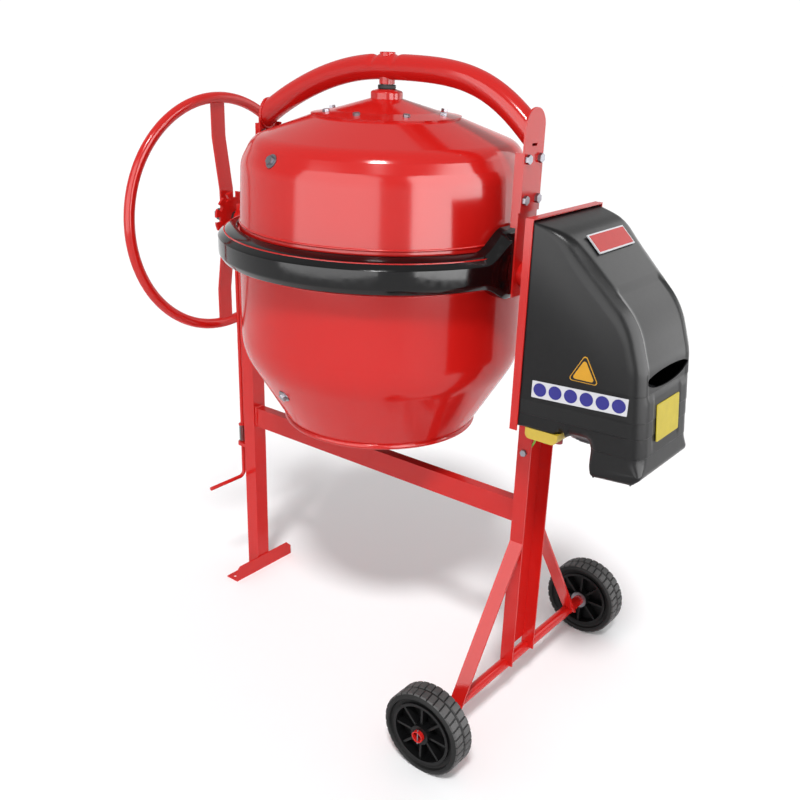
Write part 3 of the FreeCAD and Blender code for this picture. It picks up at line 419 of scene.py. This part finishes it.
grip_top_z, grip_low_z, grip_half_y, grip_depth = 1052.0, (796.0, 808.0), (80.0, 90.0), 3.5
grip_fade, grip_x = 10.0, 600.0
panel_low_z, panel_high_z = (702.0, 706.0), (796.0, 800.0)
panel_half_y, panel_y, panel_depth = (54.0, 58.0), -3.0, 1.6

slot_half_y, slot_z, slot_rise, slot_sag, slot_steps = 86.0, 834.0, 11.0, 21.0, 24
slot_cut_x = (640.0, 760.0)
pocket_x, pocket_z, pocket_corner, pocket_depth = (446.0, 526.0), (690.0, 757.0), 3.0, 8.0
pocket_cut_y = -200.0
motor_cut_x = (505.0, 600.0)
motor_clearance = 0.004                  # metres, as are the two below
motor_z = middle("motor_can").z
motor_hole_r = motor_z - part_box("motor_end_caps")[0][2] + motor_clearance


def smooth(x, a, b):
    """0 at a, 1 at b, with a soft start and end."""
    t = min(1.0, max(0.0, (x - a) / (b - a)))
    return t * t * (3 - 2 * t)


def housing_half_width(x):
    return housing_half - side_gap - side_taper * (x - housing_x0)


def housing_edge_radius(x, z):
    """The roof's edges start tight at the back plate and open out towards the outer face."""
    wide = roof_edge_r + (outer_edge_r - roof_edge_r) * smooth(x, housing_x0, roof_edge_end_x)
    if z < housing_floor:
        return wide - foot_edge_loss * smooth(foot_edge_z - z, 0, foot_edge_run)
    return wide if x > under_edge_x or z > under_edge_z else under_edge_r


def housing_recess(p, y):
    """Depth of the hollow down to the hand slot, and of the panel that holds the plate."""
    if p.x < grip_x:
        return 0.0
    grip = (smooth(grip_top_z - p.y, 0, grip_fade) * smooth(p.y, *grip_low_z)
            * (1 - smooth(abs(y), *grip_half_y)))
    panel = (smooth(p.y, *panel_low_z) * (1 - smooth(p.y, *panel_high_z))
             * (1 - smooth(abs(y - panel_y), *panel_half_y)))
    return grip_depth * grip + panel_depth * panel


def housing_shell():
    profile = rounded([(housing_x0, housing_top - 0.5, 0), (505, 1075, 100), (649, 938, 150),
                       (675.5, 858, 120), (housing_x1 + 0.5, 655, 16), (680, housing_foot + 5, 12),
                       (593, housing_foot + 0.3, 10), (578, housing_floor, 5),
                       (housing_x0, housing_floor, 0)], step=7, arc=12)
    bm = bmesh.new()
    rows = []
    last = len(profile) - 1
    for i, p in enumerate(profile):
        along = (profile[min(i + 1, last)] - profile[max(i - 1, 0)]).normalized()
        inward = Vector((along.y, -along.x))
        r = housing_edge_radius(p.x, p.y)
        if i in (0, last):
            inward = Vector((0, -1 if i == 0 else 1))
        row = []
        for k in range(-edge_steps, flat_steps + edge_steps + 1):
            past = max(-k, k - flat_steps, 0)
            a = math.pi / 2 * (1 - past / edge_steps)
            q = p + inward * (r * (1 - math.sin(a)))
            flat_half = housing_half_width(q.x) - r
            share = min(1.0, max(0.0, k / flat_steps))
            y = flat_half * (2 * share - 1) + math.copysign(r * math.cos(a), 2 * share - 1)
            dip = housing_recess(p, y)
            row.append(bm.verts.new(at(q.x + inward.x * dip, y, q.y + inward.y * dip)))
        rows.append(row)
    bridge(bm, rows, False)
    for column in (0, -1):
        bm.faces.new([row[column] for row in rows])
    bmesh.ops.recalc_face_normals(bm, faces=bm.faces)
    for level, depth in housing_ledges:
        housing_step(bm, level, depth)
    o = loose_object(bm, "motor_housing_shell")
    wall = o.modifiers.new("wall", "SOLIDIFY")
    wall.thickness = housing_wall / 1000
    wall.offset = -1
    apply_modifiers(o)
    return o


def housing_step(bm, level, depth):
    """A ledge round the housing: everything below the level stands back a little."""
    for z in (level, level - ledge_band):
        cut_plane(bm, at(0, 0, z), (0, 0, 1))
    bm.normal_update()
    moves = []
    for v in bm.verts:
        if (v.co.z < (level - ledge_band / 2) / 1000
                and v.co.x > at(housing_x0 + ledge_clear, 0, 0).x):
            flat = Vector((v.normal.x, v.normal.y, 0))
            if flat.length > 0.3:
                moves.append((v, flat.normalized() * depth / 1000))
    for v, move in moves:
        v.co -= move


def slot_outline():
    """Finger slot: a nearly straight top and a lower lip that sags like a smile."""
    out = []
    for way, swing in ((1, slot_rise), (-1, -slot_sag)):
        for k in range(slot_steps):
            a = math.pi * k / slot_steps
            out.append((way * slot_half_y * math.cos(a), slot_z + swing * math.sin(a)))
    return out


def build_housing():
    o = housing_shell()
    hole = bmesh.new()
    sweep_tube(hole, [Vector((at(x, 0, 0).x, 0, motor_z)) for x in motor_cut_x], motor_hole_r, 72)
    pocket = prism(box_outline(*pocket_x, *pocket_z, pocket_corner), "Y", pocket_cut_y,
                   pocket_depth - housing_half)
    cut_away(o, [loose_object(hole, "cut_motor"), loose_object(pocket, "cut_pocket"),
                 loose_object(prism(slot_outline(), "X", *slot_cut_x), "cut_slot")])
    return place(mesh_of(o), "motor_housing_shell", "stand", "black_shell", ["motor_housing"],
                 sharp=28)


housing_skin = build_housing().data

# ---------------------------------------------------------------- labels on the housing
housing_skin.calc_loop_triangles()
skin = BVHTree.FromPolygons([v.co for v in housing_skin.vertices],
                            [tuple(t.vertices) for t in housing_skin.loop_triangles])
film_t = 0.35
film_cell = 5.0                          # a film follows the skin in cells of this size
film_lift, layer_pitch = 0.4, 1.3        # in film thicknesses

strip_corners = ((467, 766), (655, 772), (655, 805), (467, 799))
strip_corner_r = 1.5
disc_count, disc_r, disc_sides = 6, 13.0, 48
disc_start, disc_pitch = Vector((483.5, 783.2)), Vector((31.0, 0.98))
triangle_left, triangle_right, triangle_base = 539.0, 594.5, 818.0
triangle_apex = (566.8, 868.0)
triangle_inset = 3.2                     # black rim left round the amber field
badge_upper, badge_lower = Vector((519.5, 1066.2)), Vector((544.8, 1041.8))
badge_y, badge_border, badge_t = (-62.0, 69.0), 3.0, 2.5
plate_y, plate_z, plate_corner = (-46.0, 50.0), (712.0, 783.0), 3.0
plate_lift = (-2.4, -1.0)
face_foot_z, face_lean = 655.0, 0.1034   # the outer face leans in above its foot


def film(name, outline, slot, material, layer=1):
    """Thin plain label laid on the housing's side, from its outline in (x, z)."""
    bm = prism(outline, "Y", 0.0, film_t)
    for axis, flat in ((0, (1, 0, 0)), (1, (0, 0, 1))):
        low, high = min(p[axis] for p in outline), max(p[axis] for p in outline)
        cuts = int((high - low) // film_cell)
        for i in range(1, cuts):
            level = low + (high - low) * i / cuts
            cut_plane(bm, at(level, 0, level), flat)
    for v in bm.verts:
        hit = skin.ray_cast(Vector((v.co.x, -1.0, v.co.z)), Vector((0, 1, 0)))[0]
        v.co.y += hit.y - film_t / 1000 * (layer_pitch * layer + film_lift)
    place(bm, name, "stand", slot, material=material)


def triangle(inset):
    corners = [(triangle_left + 1.75 * inset, triangle_base + inset, 4),
               (triangle_right - 1.75 * inset, triangle_base + inset, 4),
               (triangle_apex[0], triangle_apex[1] - 2.1 * inset, 4)]
    return rounded(corners, closed=True)


def badge(name, border, lift, material):
    """Plain plate on the slope of the roof."""
    along = (badge_lower - badge_upper).normalized()
    normal = Vector((-along.y, along.x))
    ends = [(badge_upper - along * border, badge_y[0] - border),
            (badge_lower + along * border, badge_y[0] - border),
            (badge_lower + along * border, badge_y[1] + border),
            (badge_upper - along * border, badge_y[1] + border)]
    bm = bmesh.new()
    rings = []
    for top in (lift - badge_t, lift):
        corners = [(p + normal * top, y) for p, y in ends]
        rings.append([bm.verts.new(at(q.x, y, q.y)) for q, y in corners])
    capped(bm, rings)
    place(bm, name, "stand", "red_plastic", material=material)


def build_labels():
    film("label_strip", rounded([(x, z, strip_corner_r) for x, z in strip_corners], closed=True),
         "black_shell", "white_film")
    for i in range(disc_count):
        centre = disc_start + disc_pitch * i
        ring = [centre + disc_r * Vector((math.cos(TAU * k / disc_sides),
                                          math.sin(TAU * k / disc_sides)))
                for k in range(disc_sides)]
        film("label_disc_%d" % (i + 1), ring, "black_shell", "blue_film", 2)
    film("label_triangle_rim", triangle(0.0), "yellow_plastic", "black_film", 2)
    film("label_triangle", triangle(triangle_inset), "yellow_plastic", "amber_film", 3)
    edge = [(536.5, 816.5, 5), (597, 816.5, 5), (566.8, 871.5, 5)]
    film("label_triangle_edge", rounded(edge, closed=True), "yellow_plastic", "amber_film", 1)
    badge("badge_field", 0.0, 1.2, "badge_red")
    badge("badge_border", badge_border, 0.8, "white_film")

    bm = bmesh.new()
    rings = []
    for lift in plate_lift:
        face_x = housing_x1 + 0.5 + lift
        rings.append([bm.verts.new(at(face_x - face_lean * (z - face_foot_z), y, z))
                      for y, z in box_outline(*plate_y, *plate_z, plate_corner)])
    capped(bm, rings)
    place(bm, "label_plate", "stand", "yellow_plastic", material="yellow_film")


build_labels()

# ---------------------------------------------------------------- tyres
tyre_bore, tread_depth, tread_foot = 67.9, 2.4, 0.8
lug_count, lug_share, lug_steps = 34, 0.84, 4
lug_flank, lug_skew, lug_taper = 1.6, 0.0016, 0.35 / 20
tread_inset, tread_split = 3.5, 2.0      # from the sidewall, and each side of the middle


def build_tyre(name, body):
    (_, y0, low_z), (_, y1, high_z) = box_mm(name)
    middle_y = (y0 + y1) / 2
    centre = middle(name)
    radius = (high_z - low_z) / 2
    carcass = radius - tread_depth
    half = [(tyre_bore, 9, 0), (77, 8, 2), (78.5, 1, 1.2), (82, 0.5, 2), (carcass, 4, 4)]
    outline = ([(r, y0 + inset, corner) for r, inset, corner in half]
               + [(r, y1 - inset, corner) for r, inset, corner in reversed(half)])
    bm = bmesh.new()
    lathe(bm, rounded(outline, closed=True, arc=5), centre, "Y", 128)
    place(bm, name + "_carcass", body, "tyre_rubber", [name], sharp=40)
    bm = bmesh.new()
    rows = ((y0 + tread_inset, middle_y - tread_split), (middle_y + tread_split, y1 - tread_inset))
    for row, (a, b) in enumerate(rows):
        for i in range(lug_count):
            start = TAU * (i + 0.5 * row) / lug_count
            tyre_lug(bm, centre, start, TAU / lug_count * lug_share, a, b,
                     carcass - tread_foot, radius)
    # the lugs are painted a lighter grey than the carcass: painted sheen on the tread blocks
    place(bm, name + "_lugs", body, "tyre_rubber", sharp=40, material="worn_rubber")


def tyre_lug(bm, centre, start, sweep, y0, y1, low, high):
    """Curved tread block with sloping flanks, set a little askew."""
    rings = []
    for k in range(lug_steps + 1):
        share = k / lug_steps
        ring = []
        for y, r in ((y0, low), (y0 + lug_flank, high), (y1 - lug_flank, high), (y1, low)):
            taper = lug_taper if share in (0, 1) and r == high else 0.0
            angle = (start + sweep * share + (0.5 - share) * taper
                     + lug_skew * (y - (y0 + y1) / 2))
            ring.append(bm.verts.new((centre.x + r / 1000 * math.cos(angle), y / 1000,
                                      centre.z + r / 1000 * math.sin(angle))))
        rings.append(ring)
    capped(bm, rings)


for end in ("front", "back"):
    build_tyre("tyre_" + end, "wheel_" + end)

# ---------------------------------------------------------------- gear guard and pinion cover
guard_low, guard_high = (Vector(corner) * 1000 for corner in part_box("gear_guard"))
cover_low, cover_high = (Vector(corner) * 1000 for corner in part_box("pinion_cover"))
guard_r = guard_high.y
guard_flat = cover_high.x - drum_axis.x * 1000
guard_lip = 312.5                        # inner edge of the guard's lips
guard_split = 111.5                      # half width of the pinion cover
guard_wall = 2.5
cover_swell_y = (30.0, 104.0)            # the cover's crown falls away between these
trunnion_cut_x, trunnion_cut_r = (335.0, 365.0), 24.5


def guard_ring(bm, turn):
    """Section of the guard at one angle; the cover's crown and keel swell near +X."""
    c, s = math.cos(turn), math.sin(turn)
    outer = guard_r
    if abs(outer * s) < guard_split:
        outer = min(guard_r, guard_flat / abs(c))
    swell = 1 - smooth(abs(guard_r * s), *cover_swell_y) if c > 0 else 0.0
    top = guard_high.z + (cover_high.z - guard_high.z) * swell
    low = guard_low.z + (cover_low.z - guard_low.z) * swell
    wall = guard_wall
    profile = [(guard_lip, top - 1.6, 0), (guard_lip + 1.5, top, 0.7), (outer - 17, top - 6, 30),
               (outer - 2.5, top - 17, 3), (outer, top - 20, 2), (outer, low + 13, 9),
               (outer - 9, low, 7), (guard_lip + 3, low, 0),
               (guard_lip + 3, low + wall, 0), (outer - 10, low + wall, 6),
               (outer - wall, low + 14, 8), (outer - wall, top - 20, 2),
               (outer - 19, top - 9, 20), (guard_lip + 1.5, top - 3.4, 0)]
    return [bm.verts.new(at(r * c, r * s, z)) for r, z in rounded(profile, closed=True, arc=6)]


def guard_arc(start, sweep, steps):
    bm = bmesh.new()
    capped(bm, [guard_ring(bm, start + sweep * k / steps) for k in range(steps + 1)])
    return bm


def build_guard():
    split = math.asin(guard_split / guard_r)
    place(guard_arc(split, TAU - 2 * split, 220), "gear_guard_ring", "yoke", "black_guard",
          ["gear_guard"], sharp=30)
    cover = loose_object(guard_arc(-split, 2 * split, 64), "pinion_cover_shell_blank")
    hole = bmesh.new()
    sweep_tube(hole, [at(x, 0, 1000 * tilt_z) for x in trunnion_cut_x], trunnion_cut_r / 1000, 48)
    cut_away(cover, [loose_object(hole, "cut_trunnion")])
    place(mesh_of(cover), "pinion_cover_shell", "yoke", "black_guard", ["pinion_cover"], sharp=30)


build_guard()

# ---------------------------------------------------------------- arch tube
arch_left_r, arch_right_r = 581.0, 654.0
arch_tube_r = 25.0
arch_reach = 354.0
arch_left_fuller, arch_right_fuller = -5.0, 20.0
shoulder_power = 1.7                     # puts the fullest point beyond half way
(arch_x0, _, _), (arch_x1, _, arch_top) = box_mm("arch_tube")
arch_z = box_mm("drum_spindle")[1][2] - arch_tube_r
arch_overrun = 24.0                      # the sweep starts beyond the tube's cut ends
arch_steps, arch_sides = 220, 48
arch_dents = ((-27.0, 5.5), (27.0, 4.0))  # place and depth, each side of the spindle
dent_width, dent_fade, dent_start = 7.0, 14.0, 3.0
sleeve_inner, sleeve_outer, sleeve_gap = 12.5, 16.0, 1.2


def arc_height(x):
    radius = arch_left_r if x < 0 else arch_right_r
    return arch_z - radius + math.sqrt(radius ** 2 - x ** 2)


def arch_point(x):
    """Centre line of the bent tube; its right shoulder is fuller than a circle."""
    share = min(1.0, abs(x) / arch_reach)
    fuller = arch_right_fuller if x > 0 else arch_left_fuller
    return at(x, 0, arc_height(x) + fuller * math.sin(math.pi * share ** shoulder_power))


def build_arch():
    start, end = arch_x0 - arch_overrun, arch_x1 + arch_overrun
    path = [arch_point(start + (end - start) * k / arch_steps) for k in range(arch_steps + 1)]
    bm = bmesh.new()
    sweep_tube(bm, path, arch_tube_r / 1000, arch_sides, caps=False)
    for x, side in ((arch_x0, -1), (arch_x1, 1)):
        cut_plane(bm, at(x, 0, 0), (side, 0, 0), clear_outer=True)
    for v in bm.verts:
        x = (v.co.x - drum_axis.x) * 1000
        up = v.co.z * 1000 - (arch_z - dent_start)
        if up > 0:
            for dent_x, depth in arch_dents:
                fall = math.exp(-((x - dent_x) / dent_width) ** 2) * min(1.0, up / dent_fade)
                v.co.z -= depth / 1000 * fall
    place(bm, "arch_tube_bent", "yoke", "red_paint", ["arch_tube"])
    low = box_mm("spindle_seal")[1][2] + sleeve_gap
    outline = [(sleeve_inner, low, 0), (sleeve_outer, low, 1), (sleeve_outer, arch_top, 1.5),
               (sleeve_inner, arch_top, 0)]
    bm = bmesh.new()
    lathe(bm, rounded(outline, closed=True), drum_axis, "Z", 64)
    place(bm, "spindle_sleeve", "yoke", "red_paint")


build_arch()

# ---------------------------------------------------------------- drum beads and welds
bead_sides = 16
weld_step, weld_sides = 1.6, 10
weld_lift = 0.6                          # a weld's centre line stands this far off a tube
weld_ripples = ((0.16, 1.9), (0.1, 0.53))  # share of the radius, and turn for each ring


def build_bead(name, radius, z, thick):
    outline = [(radius + thick * math.cos(TAU * k / bead_sides),
                z + thick * math.sin(TAU * k / bead_sides)) for k in range(bead_sides)]
    bm = bmesh.new()
    lathe(bm, outline, drum_axis, "Z", 192)
    place(bm, name, "drum", "red_paint")


def weld(name, points, body, radius=2.6, closed=False):
    """Bead of overlapping ripples along points in millimetres."""
    path = []
    for a, b in zip(points, points[1:] + points[:1] if closed else points[1:]):
        a, b = Vector(a), Vector(b)
        parts = max(2, round((b - a).length / weld_step))
        path.extend(a.lerp(b, k / parts) for k in range(parts))
    if not closed:
        path.append(Vector(points[-1]))
    bm = bmesh.new()
    rings = sweep_tube(bm, [at(*p) for p in path], radius / 1000, weld_sides, caps=not closed,
                       closed=closed)
    (ripple, ripple_turn), (drift, drift_turn) = weld_ripples
    for i, ring in enumerate(rings):
        centre = at(*path[i])
        swell = (1 + ripple * math.sin(i * ripple_turn)
                 + drift * math.sin(i * drift_turn + len(name)))
        for v in ring:
            v.co = centre + (v.co - centre) * swell
    place(bm, name, body, "red_paint", sharp=80)


def oval_x(x, z, half_y, half_z, count):
    """Points of an upright oval across the X line."""
    return [(x, half_y * math.cos(TAU * k / count), z + half_z * math.sin(TAU * k / count))
            for k in range(count)]


def arch_end(x, inset):
    """Oval where the tube meets its bracket."""
    radius = arch_left_r if x < 0 else arch_right_r
    wide = arch_tube_r + weld_lift
    tall = wide / math.sqrt(1 - (abs(x) / radius) ** 2)
    return oval_x(x + inset, arc_height(x), wide, tall, 56)


def build_welds():
    (x0, _, z0), (x1, y1, z1) = box_mm("cross_beam")
    for name, x in (("weld_beam_post", x0 + 0.5), ("weld_beam_channel", x1 - 0.5)):
        weld(name, [(x, -y1, z0), (x, y1, z0), (x, y1, z1), (x, -y1, z1)], "stand", closed=True)
    sleeve_x = box_mm("left_post")[1][0] - 7.3
    weld("weld_post_sleeve", oval_x(sleeve_x, tilt_z * 1000, 24, 24, 40), "stand", closed=True)
    weld("weld_foot_left", [(x0 + 0.4, -20, 4.5), (x0 + 0.4, 20, 4.5)], "stand")
    weld("weld_foot_front", [(x0 - 38, -20.4, 4.2), (x0, -20.4, 4.2)], "stand", 2.2)
    weld("weld_arch_left", arch_end(arch_x0, 1.0), "yoke", 2.8, closed=True)
    weld("weld_arch_right", arch_end(arch_x1, -1.0), "yoke", 2.8, closed=True)


build_bead("drum_waist_bead", 305.9, 1016.0, 2.6)
build_bead("drum_lower_bead", 308.2, 929.0, 2.0)
build_welds()

# ---------------------------------------------------------------- camera
eye = drum_axis + Vector((1.3157, -1.6220, 1.4033))
yaw, pitch, roll = math.radians(38.13), math.radians(22.49), math.radians(1.64)
lens_mm, sensor_mm = 43.497, 36.0
shift = (0.008, 0.03225)

looking = Vector((-math.sin(yaw) * math.cos(pitch), math.cos(yaw) * math.cos(pitch),
                  -math.sin(pitch)))
level = Vector((math.cos(yaw), math.sin(yaw), 0))
upright = level.cross(looking)
right = level * math.cos(roll) + upright * math.sin(roll)
above = upright * math.cos(roll) - level * math.sin(roll)
camera_data = bpy.data.cameras.new("camera")
camera_data.sensor_width = sensor_mm
camera_data.lens = lens_mm
camera_data.shift_x, camera_data.shift_y = shift
camera = bpy.data.objects.new("camera", camera_data)
facing = Matrix((right, above, -looking)).transposed()
camera.matrix_world = Matrix.Translation(eye) @ facing.to_4x4()
bpy.context.collection.objects.link(camera)
bpy.context.scene.camera = camera

# ---------------------------------------------------------------- studio
floor_reach = 30.0
box_distance, box_foot = 3.0, 0.3
sun_strength, sun_spread = 2.0, math.radians(10)
sun_heading = Vector((-0.33, 0.55, -1))
horizon_strength, zenith_strength = 1.05, 0.55
horizon_band = (0.02, 0.3)               # the backdrop fades between these heights


def softbox(name, bearing, size, radiance):
    """Upright panel facing the drum that shows only in glossy surfaces."""
    light = bpy.data.lights.new(name, "AREA")
    light.shape = "RECTANGLE"
    light.size, light.size_y = size
    light.energy = radiance * math.pi * size[0] * size[1]
    o = bpy.data.objects.new(name, light)
    turn = math.radians(bearing)
    outward = Vector((math.cos(turn), math.sin(turn), 0))
    o.location = (drum_axis.x + box_distance * outward.x, box_distance * outward.y,
                  size[1] / 2 + box_foot)
    o.rotation_euler = (-outward).to_track_quat("-Z", "Y").to_euler()
    o.visible_diffuse = False
    o.visible_camera = False
    bpy.context.collection.objects.link(o)


floor_mesh = bpy.data.meshes.new("floor")
floor_mesh.from_pydata([(-floor_reach, -floor_reach, 0), (floor_reach, -floor_reach, 0),
                        (floor_reach, floor_reach, 0), (-floor_reach, floor_reach, 0)],
                       [], [(0, 1, 2, 3)])
floor = bpy.data.objects.new("floor", floor_mesh)
bpy.context.collection.objects.link(floor)
floor_mesh.materials.append(surface("floor_paper", linear(252, 252, 253), 0.75, mottle=0.004,
                                    mottle_scale=3))

softbox("box_right", 0.5, (3.7, 3.4), 8.0)
softbox("box_left", -87.0, (3.9, 3.4), 4.0)
softbox("box_back", 68.0, (2.0, 2.8), 1.8)

sun = bpy.data.lights.new("overhead", "SUN")
sun.energy = sun_strength
sun.angle = sun_spread
sun_object = bpy.data.objects.new("overhead", sun)
sun_object.rotation_euler = sun_heading.to_track_quat("-Z", "Y").to_euler()
bpy.context.collection.objects.link(sun_object)

world = bpy.data.worlds.new("studio")
world.use_nodes = True
background = world.node_tree.nodes["Background"]
nodes, links = world.node_tree.nodes, world.node_tree.links
height = nodes.new("ShaderNodeSeparateXYZ")
links.new(nodes.new("ShaderNodeTexCoord").outputs["Generated"], height.inputs[0])
links.new(remap(nodes, links, height.outputs["Z"], *horizon_band, horizon_strength,
                zenith_strength), background.inputs["Strength"])
background.inputs["Color"].default_value = (1, 1, 1, 1)
bpy.context.scene.world = world
bpy.context.scene.view_settings.view_transform = "Standard"
